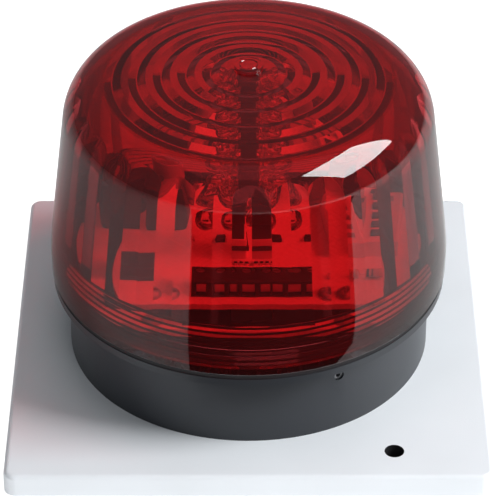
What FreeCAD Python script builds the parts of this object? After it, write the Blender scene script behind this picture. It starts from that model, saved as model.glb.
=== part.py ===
import FreeCAD, Part
import math
import os
import re
import Sketcher
from FreeCAD import Placement, Rotation, Vector

# Alarm siren with a flashing beacon. Millimetres, +Z up, origin at the middle of the mounting
# plate's underside. The front of the siren, with the lock screw, faces -Y.

doc = FreeCAD.newDocument("alarm_siren")
sheet = doc.addObject("Spreadsheet::Sheet", "sizes")

SIZES = {
    # mounting plate: a square cover, open underneath
    "plate_side": 120, "plate_height": 6, "plate_skin": 2.5, "plate_wall": 2,
    "plate_corner": 3, "plate_edge": 1.2,
    "fixing_x": 35.9, "fixing_y": 50, "fixing_radius": 2.4, "fixing_boss": 4.6,
    "cable_y": 27, "cable_plate_radius": 8.5,
    # base housing: a round cup with a thin flange under the lens
    "base_radius": 46, "base_wall": 2.5, "base_floor": 2.5, "base_top": 28,
    "flange_radius": 49.8, "flange_thick": 2,
    "cup_boss_radius": 3.5, "cup_boss_height": 5, "cup_boss_circle": 34,
    # gasket in a groove under the base
    "gasket_outer": 42, "gasket_inner": 38, "gasket_thick": 1,
    # screws that hold the base to the plate
    "base_screw_shank": 1.48, "base_screw_hole": 1.5, "base_screw_head": 2.8,
    "base_screw_head_height": 2, "base_screw_length": 6, "screw_relief": 0.5,
    # cable grommet
    "grommet_bore": 3.5, "grommet_neck": 6, "grommet_flange": 7.8, "grommet_lip": 1.8,
    # lens seal
    "seal_outer": 49.6, "seal_inner": 45.2, "seal_thick": 1.4,
    # lens
    "lens_radius": 50.2, "lens_skirt": 7.1, "lens_top_radius": 46.35, "lens_top_height": 69.4,
    "lens_crown": 86.1, "crown_curve": 250, "shoulder": 12.6, "lens_wall": 2.4, "lens_roof": 3,
    "spigot_radius": 43.2, "spigot_wall": 2, "spigot_depth": 10.9, "ledge_thick": 2.2,
    "band_rib_count": 7, "band_rib_pitch": 1.5, "band_rib_depth": 0.35,
    "flute_count": 30, "flute_foot": 42.4, "flute_valley_foot": 46.8, "flute_ridge_foot": 46.3,
    "flute_head": 81, "flute_valley_head": 42.3, "flute_ridge_head": 41.8, "flute_turn": 1,
    "ring_count": 5, "ring_first": 9.2, "ring_pitch": 6, "ring_width": 4.2, "ring_depth": 1,
    "gate_radius": 3.6, "gate_height": 0.8,
    # lock screw in the side of the base
    "lock_angle": 29, "lock_height": 21.9, "lock_radius": 1.25, "lock_hole": 1.3,
    "lock_length": 2.2, "lock_gap": 0.1, "hex_key": 0.75, "hex_depth": 1.1,
    # main circuit board
    "board_radius": 39.5, "board_front": 22, "board_thick": 1.6, "board_top": 31,
    "pillar_radius": 3, "board_screw_hole": 1.5, "board_screw_shank": 1.25,
    "board_screw_head": 2.6, "board_screw_head_height": 1.7, "board_screw_length": 6,
    "front_screw_x": 22, "front_screw_y": 18, "rear_screw_x": 14, "rear_screw_y": 33,
    # terminal block on the front edge of the board
    "way_count": 8, "way_pitch": 3.81, "block_front": 19, "block_deep": 6.4, "block_tall": 5,
    "entry_width": 2.7, "entry_tall": 3.5, "entry_deep": 1.8, "entry_sill": 0.5,
    "clamp_thick": 0.5, "clamp_width": 2.4, "clamp_tall": 3.2,
    "way_screw_back": 4.7, "way_screw_radius": 1.15, "way_screw_hole": 1.2,
    "way_screw_tall": 1.2, "way_hole_deep": 1.5, "slot_width": 0.4, "slot_deep": 0.5,
    # tone switch on the right of the board
    "tone_x": 29.5, "tone_y": 8.6, "tone_wide": 9, "tone_long": 21, "tone_tall": 5,
    "tone_count": 5, "tone_pitch": 3.8, "tone_slot_long": 5, "tone_slot_wide": 2.2,
    "tone_slot_deep": 1.4, "slider_long": 2.4, "slider_wide": 2, "slider_tall": 2.1,
    "slider_gap": 0.1,
    # LED mast
    "mast_side": 5.2, "mast_top": 81, "foot_wide": 6, "foot_deep": 5.6, "foot_tall": 6,
    "clip_wide": 6.8, "clip_deep": 6.4, "clip_tall": 1.2, "clip_lift": 2.9,
    "tier_count": 6, "tier_first": 44, "tier_pitch": 7, "led_radius": 2.4, "led_base": 4.7,
    "led_straight": 4.6, "led_spread": 32, "lead_radius": 0.25, "lead_base": 3.3,
    "lead_offset": 1.27,
    # other parts on the board
    "coil_x": -27, "coil_y": 15, "coil_wide": 12, "coil_deep": 10, "coil_tall": 13,
    "relay_x": -28, "relay_y": -8.5, "relay_wide": 9, "relay_deep": 7, "relay_tall": 4,
    "can_radius": 4, "can_tall": 16, "can_left_x": -20, "can_left_y": 26,
    "can_right_x": 24, "can_right_y": 25,
    "resistor_x": 28, "resistor_y": -11, "resistor_radius": 1.2, "resistor_long": 6.5,
    "resistor_lift": 1.6, "wire_radius": 0.35, "wire_reach": 1.6,
    "chip_y": 17, "chip_long": 10, "chip_wide": 4, "chip_tall": 1.5, "chip_lift": 0.2,
    "leg_count": 8, "leg_pitch": 1.27, "leg_width": 0.4, "leg_reach": 1, "leg_tall": 0.8,
    "small_count": 7, "small_pitch": 1.4, "small_wide": 0.9, "small_long": 1.6,
    "small_tall": 0.5, "small_y": -4.8,
    "diode_x": 11.5, "diode_y": 5.5, "diode_long": 3.6, "diode_wide": 1.8, "diode_tall": 1.3,
    # piezo sounder on the base floor
    "sounder_y": -8, "sounder_radius": 19, "sounder_tall": 11, "sounder_wall": 1.5,
    "sound_hole": 6, "disc_radius": 16, "disc_thick": 0.4, "disc_lift": 3.5,
    "disc_ledge": 14.5,
    "piezo_wire_radius": 0.55, "piezo_wire_x": 3, "piezo_wire_start": 11, "piezo_wire_run": 8,
    "piezo_wire_lift": 6.5,
    # small edge cuts on moulded parts
    "edge_cut": 0.5,
}
for row, (name, number) in enumerate(SIZES.items(), start=1):
    sheet.set("A%d" % row, name)
    sheet.set("B%d" % row, str(number))
    sheet.setAlias("B%d" % row, name)
doc.recompute()

UP = Vector(0, 0, 1)
parts = []


def cells(expression):
    """Turns the sheet's aliases in an expression into references to the sheet."""
    return re.sub("[a-z_]+", lambda word: ("sizes." if word[0] in SIZES else "") + word[0],
                  expression)


def value(expression):
    """The number that an expression gives, in millimetres or as a plain count."""
    result = sheet.evalExpression(cells(expression))
    return float(getattr(result, "Value", result))


def bind(item, **expressions):
    """Binds the item's sizes to the sheet."""
    for name, expression in expressions.items():
        item.setExpression(name, cells(expression))
    return item


def place(item, x="0", y="0", z="0", turn=None):
    """Puts the item at a place bound to the sheet, turned first if a rotation is given."""
    if turn is not None:
        item.Placement = Placement(Vector(), turn)
    for axis, expression in zip("xyz", (x, y, z)):
        if expression != "0":
            item.setExpression("Placement.Base." + axis, cells(expression))
    return item


def box(name, length, width, height, x="0", y="0", z="0"):
    """A box centred on x and y that stands on z."""
    item = bind(doc.addObject("Part::Box", name), Length=length, Width=width, Height=height)
    return place(item, "%s - %s / 2" % (x, length), "%s - %s / 2" % (y, width), z)


def cylinder(name, radius, height, x="0", y="0", z="0", turn=None):
    item = bind(doc.addObject("Part::Cylinder", name), Radius=radius, Height=height)
    return place(item, x, y, z, turn)


def tube(name, outer, inner, height, z):
    """A plain ring about the Z axis."""
    return cut(name, cylinder("ring_outside", outer, height, z=z),
               cylinder("ring_inside", inner, height, z=z))


def fuse(name, items):
    item = doc.addObject("Part::MultiFuse", name)
    item.Shapes = items
    return item


def cut(name, base, tool):
    item = doc.addObject("Part::Cut", name)
    item.Base = base
    item.Tool = tool
    return item


def group(name, items):
    """Separate solids that share one node."""
    item = doc.addObject("Part::Compound", name)
    item.Links = items
    return item


def chamfer_top(name, base, size):
    """Cuts the edges round the top face of a part."""
    doc.recompute()
    top = base.Shape.BoundBox.ZMax
    item = doc.addObject("Part::Chamfer", name)
    item.Base = base
    item.Edges = [(number, value(size), value(size))
                  for number, edge in enumerate(base.Shape.Edges, start=1)
                  if abs(edge.BoundBox.ZMin - top) < 1e-6 and abs(edge.BoundBox.ZMax - top) < 1e-6]
    return item


def finish(item, label):
    """Gives a finished sub-part the label that names its file."""
    item.Label = label
    parts.append(item)
    return item


def radial(angle, radius):
    """Expressions for the place at an angle in degrees from +X and a radius."""
    return "%s * cos(%s * 1deg)" % (radius, angle), "%s * sin(%s * 1deg)" % (radius, angle)


def origin_plane(body, role):
    return next(item for item in body.Origin.OriginFeatures if item.Role == role)


def sketch_on(body, role, name, height=None):
    """A sketch on one of the body's own origin planes, raised to a height if one is given."""
    sketch = body.newObject("Sketcher::SketchObject", name)
    sketch.AttachmentSupport = [(origin_plane(body, role), "")]
    sketch.MapMode = "FlatFace"
    if height is not None:
        sketch.setExpression("AttachmentOffset.Base.z", cells(height))
    return sketch


def bound(sketch, kind, geometry, vertex, expression):
    """Holds one coordinate of a sketch point at an expression."""
    number = value(expression)
    if abs(number) < 1e-9:
        axis = -2 if kind == "DistanceX" else -1
        sketch.addConstraint(Sketcher.Constraint("PointOnObject", geometry, vertex, axis))
        return
    rule = Sketcher.Constraint(kind, -1, 1, geometry, vertex, number)
    index = sketch.addConstraint(rule)
    sketch.setExpression("Constraints[%d]" % index, cells(expression))


def outline(sketch, points):
    """A closed outline of straight lines whose corners are bound to the sheet."""
    corners = [Vector(value(x), value(y), 0) for x, y in points]
    for start, end in zip(corners, corners[1:] + corners[:1]):
        sketch.addGeometry(Part.LineSegment(start, end))
    for index, (x, y) in enumerate(points):
        following = (index + 1) % len(points)
        sketch.addConstraint(Sketcher.Constraint("Coincident", index, 2, following, 1))
        bound(sketch, "DistanceX", index, 1, x)
        bound(sketch, "DistanceY", index, 1, y)


def circle(sketch, x, y, radius):
    """A circle whose centre and radius are bound to the sheet."""
    centre = Vector(value(x), value(y), 0)
    geometry = sketch.addGeometry(Part.Circle(centre, UP, value(radius)))
    bound(sketch, "DistanceX", geometry, 3, x)
    bound(sketch, "DistanceY", geometry, 3, y)
    index = sketch.addConstraint(Sketcher.Constraint("Radius", geometry, value(radius)))
    sketch.setExpression("Constraints[%d]" % index, cells(radius))


def pad(body, sketch, length):
    """Raises a sketch by a length bound to the sheet."""
    feature = body.newObject("PartDesign::Pad", sketch.Name + "_pad")
    feature.Profile = sketch
    bind(feature, Length=length)
    doc.recompute()
    return feature


def pocket(body, sketch, length, upward):
    """Cuts a sketch out of the body and makes sure that something was cut."""
    before = body.Shape.Volume
    feature = body.newObject("PartDesign::Pocket", sketch.Name + "_pocket")
    feature.Profile = sketch
    feature.Reversed = upward
    bind(feature, Length=length)
    doc.recompute()
    assert body.Shape.Volume < before - 0.1, sketch.Name + " cut nothing"
    return feature


def revolve(body, sketch):
    """Turns a sketch on the XZ plane once about the Z axis."""
    feature = body.newObject("PartDesign::Revolution", sketch.Name + "_turned")
    feature.Profile = sketch
    feature.ReferenceAxis = (sketch, ["V_Axis"])
    feature.Angle = 360
    doc.recompute()
    return feature


def round_edges(body, name, radius, chosen):
    """Rounds the body's edges for which the test holds."""
    base = body.Tip
    names = ["Edge%d" % number for number, edge in enumerate(base.Shape.Edges, start=1)
             if chosen(edge)]
    feature = body.newObject("PartDesign::Fillet", name)
    feature.Base = (base, names)
    bind(feature, Radius=radius)
    doc.recompute()


def square(half):
    """The corners of a square about the origin."""
    return [("-1 * " + half, "-1 * " + half), (half, "-1 * " + half),
            (half, half), ("-1 * " + half, half)]


# Angles, from +X, of the three screws that hold the base to the plate.
CUP_SCREW_ANGLES = (0, 180, 270)
cup_screws = [radial(angle, "cup_boss_circle") for angle in CUP_SCREW_ANGLES]
# The plate's two fixing screws sit on a diagonal.
fixings = [("fixing_x", "-1 * fixing_y"), ("-1 * fixing_x", "fixing_y")]


def mounting_plate():
    """White square cover: rounded edges, a hollow underside and two corner screw bosses."""
    body = doc.addObject("PartDesign::Body", "plate")
    slab = sketch_on(body, "XY_Plane", "plate_slab")
    outline(slab, square("(plate_side / 2)"))
    pad(body, slab, "plate_height")
    round_edges(body, "plate_corners", "plate_corner",
                lambda edge: edge.BoundBox.ZLength > value("plate_height") - 1e-6)
    round_edges(body, "plate_rim", "plate_edge",
                lambda edge: edge.BoundBox.ZMin > value("plate_height") - 1e-6)
    hollow = sketch_on(body, "XY_Plane", "plate_hollow")
    outline(hollow, square("(plate_side / 2 - plate_wall)"))
    pocket(body, hollow, "plate_height - plate_skin", True)
    bosses = sketch_on(body, "XY_Plane", "plate_bosses")
    for x, y in fixings:
        circle(bosses, x, y, "fixing_boss")
    pad(body, bosses, "plate_height - plate_skin")
    holes = sketch_on(body, "XY_Plane", "plate_holes")
    for x, y in fixings:
        circle(holes, x, y, "fixing_radius")
    for x, y in cup_screws:
        circle(holes, x, y, "base_screw_hole")
    circle(holes, "0", "cable_y", "cable_plate_radius")
    pocket(body, holes, "plate_height", True)
    finish(body, "mounting_plate")


def base_housing():
    """Black cup: floor, straight wall, thin flange, three screw bosses and a gasket groove."""
    body = doc.addObject("PartDesign::Body", "base")
    floor_top = "plate_height + base_floor"
    inner = "base_radius - base_wall"
    profile = sketch_on(body, "XZ_Plane", "base_profile")
    outline(profile, [
        ("0", "plate_height"), ("gasket_inner", "plate_height"),
        ("gasket_inner", "plate_height + gasket_thick"),
        ("gasket_outer", "plate_height + gasket_thick"), ("gasket_outer", "plate_height"),
        ("base_radius", "plate_height"), ("base_radius", "base_top - flange_thick"),
        ("flange_radius", "base_top - flange_thick"), ("flange_radius", "base_top"),
        (inner, "base_top"), (inner, floor_top), ("0", floor_top)])
    revolve(body, profile)
    bosses = sketch_on(body, "XY_Plane", "base_bosses", floor_top)
    for x, y in cup_screws:
        circle(bosses, x, y, "cup_boss_radius")
    pad(body, bosses, "cup_boss_height")
    holes = sketch_on(body, "XY_Plane", "base_holes", "plate_height")
    for x, y in cup_screws:
        circle(holes, x, y, "base_screw_hole")
    pocket(body, holes, "base_screw_length", True)
    entry = sketch_on(body, "XY_Plane", "base_cable_hole", "plate_height")
    circle(entry, "0", "cable_y", "grommet_neck")
    pocket(body, entry, "base_floor", True)
    side = cylinder("lock_hole_tool", "lock_hole", "base_wall * 2",
                    *radial("(lock_angle - 90)", "(base_radius - base_wall * 1.5)"),
                    z="lock_height", turn=lock_turn())
    finish(cut("base_drilled", body, side), "base_housing")


def lock_turn():
    """The rotation that lays a part's own Z axis along the lock screw, pointing outwards."""
    angle = math.radians(value("lock_angle") - 90)
    return Rotation(UP, Vector(math.cos(angle), math.sin(angle), 0))


def base_gasket():
    """Foam ring in the groove under the base."""
    finish(tube("gasket", "gasket_outer", "gasket_inner", "gasket_thick", "plate_height"),
           "base_gasket")


def base_screws():
    """Three pan-head screws driven up from the hollow of the plate into the base's bosses."""
    screws = []
    skin_under = "plate_height - plate_skin"
    for x, y in cup_screws:
        shank = cylinder("cup_shank", "base_screw_shank", "plate_skin + base_screw_length - screw_relief",
                         x, y, skin_under)
        head = cylinder("cup_head", "base_screw_head", "base_screw_head_height", x, y,
                        skin_under + " - base_screw_head_height")
        recess = box("cup_slot", "base_screw_head * 2", "slot_width * 2", "slot_deep * 2", x, y,
                     skin_under + " - base_screw_head_height")
        screws.append(cut("cup_screw", fuse("cup_blank", [shank, head]), recess))
    finish(group("cup_screws", screws), "base_screws")


def cable_grommet():
    """Rubber bush with a groove that grips the base floor round the cable hole."""
    body = doc.addObject("PartDesign::Body", "grommet")
    under = "plate_height - grommet_lip"
    floor_top = "plate_height + base_floor"
    profile = sketch_on(body, "XZ_Plane", "grommet_profile")
    outline(profile, [
        ("grommet_bore", under), ("grommet_flange", under), ("grommet_flange", "plate_height"),
        ("grommet_neck", "plate_height"), ("grommet_neck", floor_top),
        ("grommet_flange", floor_top), ("grommet_flange", floor_top + " + grommet_lip"),
        ("grommet_bore", floor_top + " + grommet_lip")])
    revolve(body, profile)
    place(body, y="cable_y")
    finish(body, "cable_grommet")


def lens_seal():
    """Black ring on the flange that the lens stands on."""
    finish(tube("seal", "seal_outer", "seal_inner", "seal_thick", "base_top"), "lens_seal")


def wall_radius(height, inset):
    """Radius of the drafted lens wall, less an inset, at a height."""
    foot = value("base_top + seal_thick + lens_skirt")
    slope = (value("lens_radius") - value("lens_top_radius")) / (value("lens_top_height") - foot)
    return value("lens_radius") - slope * max(0, height - foot) - inset


def dome_outline(inset, roof, below, rings):
    """Outline of the dome from the axis round the shoulder to its foot, moved in by the walls.

    The crown is a shallow arc, the wall is straight and drafted, and one round arc joins them.
    The rings are V ridges that stand down from the inside of the crown.
    """
    crown_top = value("lens_crown") - roof
    curve = value("crown_curve")
    shoulder = value("shoulder") - inset
    foot = value("base_top + seal_thick + lens_skirt")
    lean = math.atan2(wall_radius(foot, 0) - wall_radius(foot + 10, 0), 10)
    centre_low = crown_top - curve

    def gap(height):
        """How far the shoulder arc's centre, at this height, is from touching the crown."""
        radius = wall_radius(height, inset) - shoulder / math.cos(lean)
        return math.hypot(radius, height - centre_low) - (curve - shoulder)

    low, high = foot, crown_top
    while high - low > 1e-9:
        middle = (low + high) / 2
        low, high = (middle, high) if gap(middle) < 0 else (low, middle)
    centre_z = low
    centre_r = wall_radius(centre_z, inset) - shoulder / math.cos(lean)
    reach = math.hypot(centre_r, centre_z - centre_low)

    def on_arc(angle):
        return Vector(centre_r + shoulder * math.cos(angle), 0,
                      centre_z + shoulder * math.sin(angle))

    def on_crown(radius):
        return Vector(radius, 0, centre_low + math.sqrt(curve ** 2 - radius ** 2))

    crown_angle = math.atan2((centre_z - centre_low) / reach, centre_r / reach)
    knee = on_arc(crown_angle)
    hip = on_arc(lean)
    edges = []
    here = 0
    for ring in range(int(value("ring_count")) if rings else 0):
        middle = value("ring_first") + ring * value("ring_pitch")
        start = on_crown(middle - value("ring_width") / 2)
        tip = on_crown(middle) - Vector(0, 0, value("ring_depth"))
        end = on_crown(middle + value("ring_width") / 2)
        edges.append(Part.Arc(on_crown(here), on_crown((here + start.x) / 2), start).toShape())
        edges.append(Part.LineSegment(start, tip).toShape())
        edges.append(Part.LineSegment(tip, end).toShape())
        here = end.x
    edges.append(Part.Arc(on_crown(here), on_crown((here + knee.x) / 2), knee).toShape())
    edges.append(Part.Arc(knee, on_arc((crown_angle + lean) / 2), hip).toShape())
    points = [hip] + below + [edges[0].Vertexes[0].Point]
    for start, end in zip(points, points[1:]):
        edges.append(Part.LineSegment(start, end).toShape())
    return Part.Face(Part.Wire(edges))


def turned(face):
    """The solid that a face in the XZ plane sweeps about the Z axis."""
    return face.revolve(Vector(), UP, 360)


def star(height, valley, ridge):
    """Star outline: a ridge in the middle of each flute and a valley between two flutes."""
    count = int(value("flute_count"))
    front = math.radians(value("flute_turn") - 90)
    points = []
    for step in range(2 * count + 1):
        angle = front + step * math.pi / count
        radius = ridge if step % 2 == 0 else valley
        points.append(Vector(radius * math.cos(angle), radius * math.sin(angle), height))
    return Part.makePolygon(points)


def lens():
    """Clear red dome with a spigot, V flutes and ribs inside the wall, and rings in the crown."""
    seat = value("base_top + seal_thick")
    spigot = value("spigot_radius")
    bore = value("spigot_radius - spigot_wall")
    spigot_end = seat - value("spigot_depth")
    ledge = seat + value("ledge_thick")
    foot = seat + value("lens_skirt")
    flute_foot = value("flute_foot")
    inset = value("lens_wall")
    outside = turned(dome_outline(0, 0, [
        Vector(value("lens_radius"), 0, foot), Vector(value("lens_radius"), 0, seat),
        Vector(spigot, 0, seat), Vector(spigot, 0, spigot_end), Vector(0, 0, spigot_end)], False))
    gate = Part.makeCylinder(value("gate_radius"), value("gate_height") + 1,
                             Vector(0, 0, value("lens_crown") - 1))
    upper = turned(dome_outline(inset, value("lens_roof"), [
        Vector(wall_radius(flute_foot, inset), 0, flute_foot), Vector(0, 0, flute_foot)], True))
    flutes = Part.makeLoft([
        star(flute_foot, value("flute_valley_foot"), value("flute_ridge_foot")),
        star(value("flute_head"), value("flute_valley_head"), value("flute_ridge_head"))],
        True, True)
    roof = Part.makeCylinder(value("flute_ridge_head") - 1, 20, Vector(0, 0, value("flute_head")))
    upper = upper.common(flutes.fuse(roof))
    band = [Vector(0, 0, flute_foot), Vector(0, 0, spigot_end), Vector(bore, 0, spigot_end),
            Vector(bore, 0, ledge), Vector(wall_radius(ledge, inset), 0, ledge)]
    for rib in range(int(value("band_rib_count"))):
        start = ledge + value("band_rib_pitch") * rib
        middle = start + value("band_rib_pitch") / 2
        end = start + value("band_rib_pitch")
        band.append(Vector(wall_radius(middle, inset) - value("band_rib_depth"), 0, middle))
        band.append(Vector(wall_radius(end, inset), 0, end))
    band.append(Vector(value("flute_ridge_foot"), 0, flute_foot))
    band.append(band[0])
    lower = turned(Part.Face(Part.makePolygon(band)))
    shape = outside.fuse(gate).cut(upper).cut(lower).removeSplitter()
    item = doc.addObject("Part::Feature", "dome")
    item.Shape = shape.Solids[0]
    item.Placement = Placement()
    finish(item, "lens")


def lock_screw():
    """Grub screw with a hexagon socket, in the base wall against the lens spigot."""
    start = "(spigot_radius + lock_gap)"
    blank = cylinder("lock_blank", "lock_radius", "lock_length",
                     *radial("(lock_angle - 90)", start), z="lock_height", turn=lock_turn())
    key = bind(doc.addObject("Part::Prism", "lock_key"), Circumradius="hex_key",
               Height="hex_depth")
    key.Polygon = 6
    place(key, *radial("(lock_angle - 90)", "(spigot_radius + lock_gap + lock_length - hex_depth)"),
          z="lock_height", turn=lock_turn())
    finish(cut("lock", blank, key), "lock_screw")


# Places of the four screws that hold the board to its pillars.
board_screws_at = [(side + "front_screw_x", "-1 * front_screw_y") for side in ("-1 * ", "")]
board_screws_at += [(side + "rear_screw_x", "rear_screw_y") for side in ("-1 * ", "")]


def main_board():
    """White circuit board: a disc with a straight front edge and four screw holes."""
    under = "board_top - board_thick"
    disc = cylinder("board_disc", "board_radius", "board_thick", z=under)
    front = box("board_front_cut", "board_radius * 2", "board_radius", "board_thick",
                y="(0 - board_front - board_radius / 2)", z=under)
    holes = [cylinder("board_hole", "board_screw_hole", "board_thick", x, y, under)
             for x, y in board_screws_at]
    finish(cut("board", disc, fuse("board_tools", [front] + holes)), "main_board")


def board_pillars():
    """Four brass hexagon spacers between the base floor and the board."""
    pillars = []
    floor_top = "plate_height + base_floor"
    tall = "board_top - board_thick - plate_height - base_floor"
    for x, y in board_screws_at:
        post = bind(doc.addObject("Part::Prism", "pillar_post"), Circumradius="pillar_radius",
                    Height=tall)
        post.Polygon = 6
        place(post, x, y, floor_top)
        bore = cylinder("pillar_bore", "board_screw_shank + 0.02", "board_screw_length + screw_relief",
                        x, y, "board_top - board_thick - board_screw_length - screw_relief")
        pillars.append(cut("pillar", post, bore))
    finish(group("pillars", pillars), "board_pillars")


def board_screws():
    """Four pan-head screws on top of the board."""
    screws = []
    for x, y in board_screws_at:
        shank = cylinder("board_shank", "board_screw_shank", "board_screw_length + board_thick",
                         x, y, "board_top - board_thick - board_screw_length")
        head = cylinder("board_head", "board_screw_head", "board_screw_head_height", x, y,
                        "board_top")
        slot = box("board_slot", "board_screw_head * 2", "slot_width * 2", "slot_deep * 2", x, y,
                   "board_top + board_screw_head_height - slot_deep * 1.5")
        screws.append(cut("board_screw", fuse("board_blank", [shank, head]), slot))
    finish(group("board_screw_group", screws), "board_screws")


def way_x(way):
    """Expression for the middle of one way of the terminal block."""
    return "(%.1f - way_count / 2) * way_pitch" % (way + 0.5)


def terminal_block():
    """Black block with a row of wire entries in front and screw wells on top."""
    middle = "(0 - block_front + block_deep / 2)"
    blank = box("block_blank", "(way_count * way_pitch)", "block_deep", "block_tall",
                y=middle, z="board_top")
    tools = []
    for way in range(int(value("way_count"))):
        tools.append(box("way_entry", "entry_width", "entry_deep", "entry_tall", way_x(way),
                         "(0 - block_front + entry_deep / 2)", "board_top + entry_sill"))
        tools.append(cylinder("way_well", "way_screw_hole", "way_hole_deep + 1", way_x(way),
                              "0 - block_front + way_screw_back",
                              "board_top + block_tall - way_hole_deep"))
    finish(cut("block", chamfer_top("block_chamfered", blank, "edge_cut"),
               fuse("block_tools", tools)), "terminal_block")


def terminal_clamps():
    """Tin-plated clamp plates at the back of the wire entries."""
    clamps = [box("clamp", "clamp_width", "clamp_thick", "clamp_tall", way_x(way),
                  "(0 - block_front + entry_deep - clamp_thick / 2)",
                  "board_top + entry_sill + (entry_tall - clamp_tall) / 2")
              for way in range(int(value("way_count")))]
    finish(group("clamps", clamps), "terminal_clamps")


def terminal_screws():
    """One slotted screw in each well of the terminal block."""
    well_floor = "board_top + block_tall - way_hole_deep"
    for way in range(int(value("way_count"))):
        head = cylinder("way_head", "way_screw_radius", "way_screw_tall", way_x(way),
                        "0 - block_front + way_screw_back", well_floor)
        slot = box("way_slot", "way_screw_radius * 3", "slot_width", "slot_deep * 2", way_x(way),
                   "(0 - block_front + way_screw_back)",
                   well_floor + " + way_screw_tall - slot_deep")
        finish(cut("way_screw", head, slot), "terminal_screw_%d" % (way + 1))


def tone_y(station):
    """Expression for the middle of one station of the tone switch."""
    return "(tone_y + (%d - (tone_count - 1) / 2) * tone_pitch)" % station


def tone_switch_body():
    """White switch block with one slot for each slider."""
    blank = box("tone_blank", "tone_wide", "tone_long", "tone_tall", "tone_x", "tone_y",
                "board_top")
    slots = [box("tone_slot", "tone_slot_long", "tone_slot_wide", "tone_slot_deep + 1", "tone_x",
                 tone_y(station), "board_top + tone_tall - tone_slot_deep")
             for station in range(int(value("tone_count")))]
    finish(cut("tone_body", chamfer_top("tone_chamfered", blank, "edge_cut"),
               fuse("tone_slots", slots)), "tone_switch_body")


def tone_sliders():
    """Dark sliders that stand at the inner end of their slots."""
    for station in range(int(value("tone_count"))):
        slider = box("slider_blank", "slider_long", "slider_wide", "slider_tall",
                     "(tone_x - tone_slot_long / 2 + slider_gap + slider_long / 2)",
                     tone_y(station), "board_top + tone_tall - tone_slot_deep + slider_gap")
        finish(chamfer_top("slider", slider, "edge_cut / 2"),
               "tone_slider_%d" % (station + 1))


def led_mast():
    """Dark square post on a pale foot, with a black clip round the foot."""
    finish(box("mast_foot_block", "foot_wide", "foot_deep", "foot_tall", z="board_top"),
           "mast_foot")
    clip_under = "board_top + clip_lift"
    finish(cut("mast_clip_ring", box("clip_outside", "clip_wide", "clip_deep", "clip_tall",
                                     z=clip_under),
               box("clip_inside", "foot_wide", "foot_deep", "clip_tall", z=clip_under)),
           "mast_clip")
    finish(box("mast_post", "mast_side", "mast_side", "mast_top - board_top - foot_tall",
               z="board_top + foot_tall"), "led_mast")


def led_directions():
    """Angles of the four LEDs of a tier: two to each side, spread fore and aft."""
    spread = value("led_spread")
    return [spread, 180 - spread, 180 + spread, -spread]


def led_tiers():
    """Clear LEDs that stand out sideways from the mast, and their wires."""
    leads = []
    for tier in range(int(value("tier_count"))):
        height = "tier_first + %d * tier_pitch" % tier
        leds = []
        for angle in led_directions():
            turn = Rotation(UP, Vector(math.cos(math.radians(angle)),
                                       math.sin(math.radians(angle)), 0))
            body = cylinder("led_barrel", "led_radius", "led_straight",
                            *radial("(%g)" % angle, "led_base"), z=height, turn=turn)
            tip = bind(doc.addObject("Part::Sphere", "led_tip"), Radius="led_radius")
            place(tip, *radial("(%g)" % angle, "(led_base + led_straight)"), z=height)
            leds.append(fuse("led", [body, tip]))
            for side in ("+", "-"):
                leads.append(cylinder("led_lead", "lead_radius", "led_base - lead_base",
                                      *radial("(%g)" % angle, "lead_base"),
                                      z="%s %s lead_offset" % (height, side), turn=turn))
        finish(group("tier", leds), "led_tier_%d" % (tier + 1))
    finish(group("led_wires", leads), "led_leads")


def driver_coil():
    """Tall black potted step-up coil for the sounder."""
    blank = box("coil_block", "coil_wide", "coil_deep", "coil_tall", "coil_x", "coil_y",
                "board_top")
    finish(chamfer_top("coil_chamfered", blank, "edge_cut * 3"), "driver_coil")


def relay():
    """Low black relay at the left of the board."""
    blank = box("relay_block", "relay_wide", "relay_deep", "relay_tall", "relay_x", "relay_y",
                "board_top")
    finish(chamfer_top("relay_chamfered", blank, "edge_cut"), "relay")


def capacitors():
    """Two tall electrolytic capacitors at the back of the board."""
    cans = []
    for side in ("left", "right"):
        can = cylinder("can_" + side, "can_radius", "can_tall", "can_%s_x" % side,
                       "can_%s_y" % side, "board_top")
        cans.append(chamfer_top("can_chamfered", can, "edge_cut"))
    finish(group("cans", cans), "capacitors")


def surge_resistor():
    """Axial resistor that lies across the board on two bent wires."""
    height = "board_top + resistor_lift"
    along = Rotation(UP, Vector(1, 0, 0))
    finish(cylinder("resistor", "resistor_radius", "resistor_long",
                    "resistor_x - resistor_long / 2", "resistor_y", height, along),
           "surge_resistor")
    wires = []
    for side, start in (("-", "resistor_x - resistor_long / 2 - wire_reach"),
                        ("+", "resistor_x + resistor_long / 2")):
        level = cylinder("wire_level", "wire_radius", "wire_reach", start, "resistor_y", height,
                         along)
        upright = cylinder("wire_upright", "wire_radius", "resistor_lift",
                           "resistor_x %s (resistor_long / 2 + wire_reach)" % side,
                           "resistor_y", "board_top")
        corner = bind(doc.addObject("Part::Sphere", "wire_corner"), Radius="wire_radius")
        place(corner, "resistor_x %s (resistor_long / 2 + wire_reach)" % side, "resistor_y",
              height)
        wires.append(fuse("wire", [level, upright, corner]))
    finish(group("resistor_wires", wires), "resistor_leads")


def control_chip():
    """Flat black chip behind the mast, with a row of legs along each long side."""
    finish(box("chip", "chip_long", "chip_wide", "chip_tall", y="chip_y",
               z="board_top + chip_lift"), "control_chip")
    legs = []
    for leg in range(int(value("leg_count"))):
        x = "(%.1f - leg_count / 2) * leg_pitch" % (leg + 0.5)
        for side in ("+", "-"):
            y = "(chip_y %s (chip_wide / 2 + leg_reach / 2))" % side
            legs.append(box("chip_leg", "leg_width", "leg_reach", "leg_tall", x, y, "board_top"))
    finish(group("chip_leg_rows", legs), "chip_legs")


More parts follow.
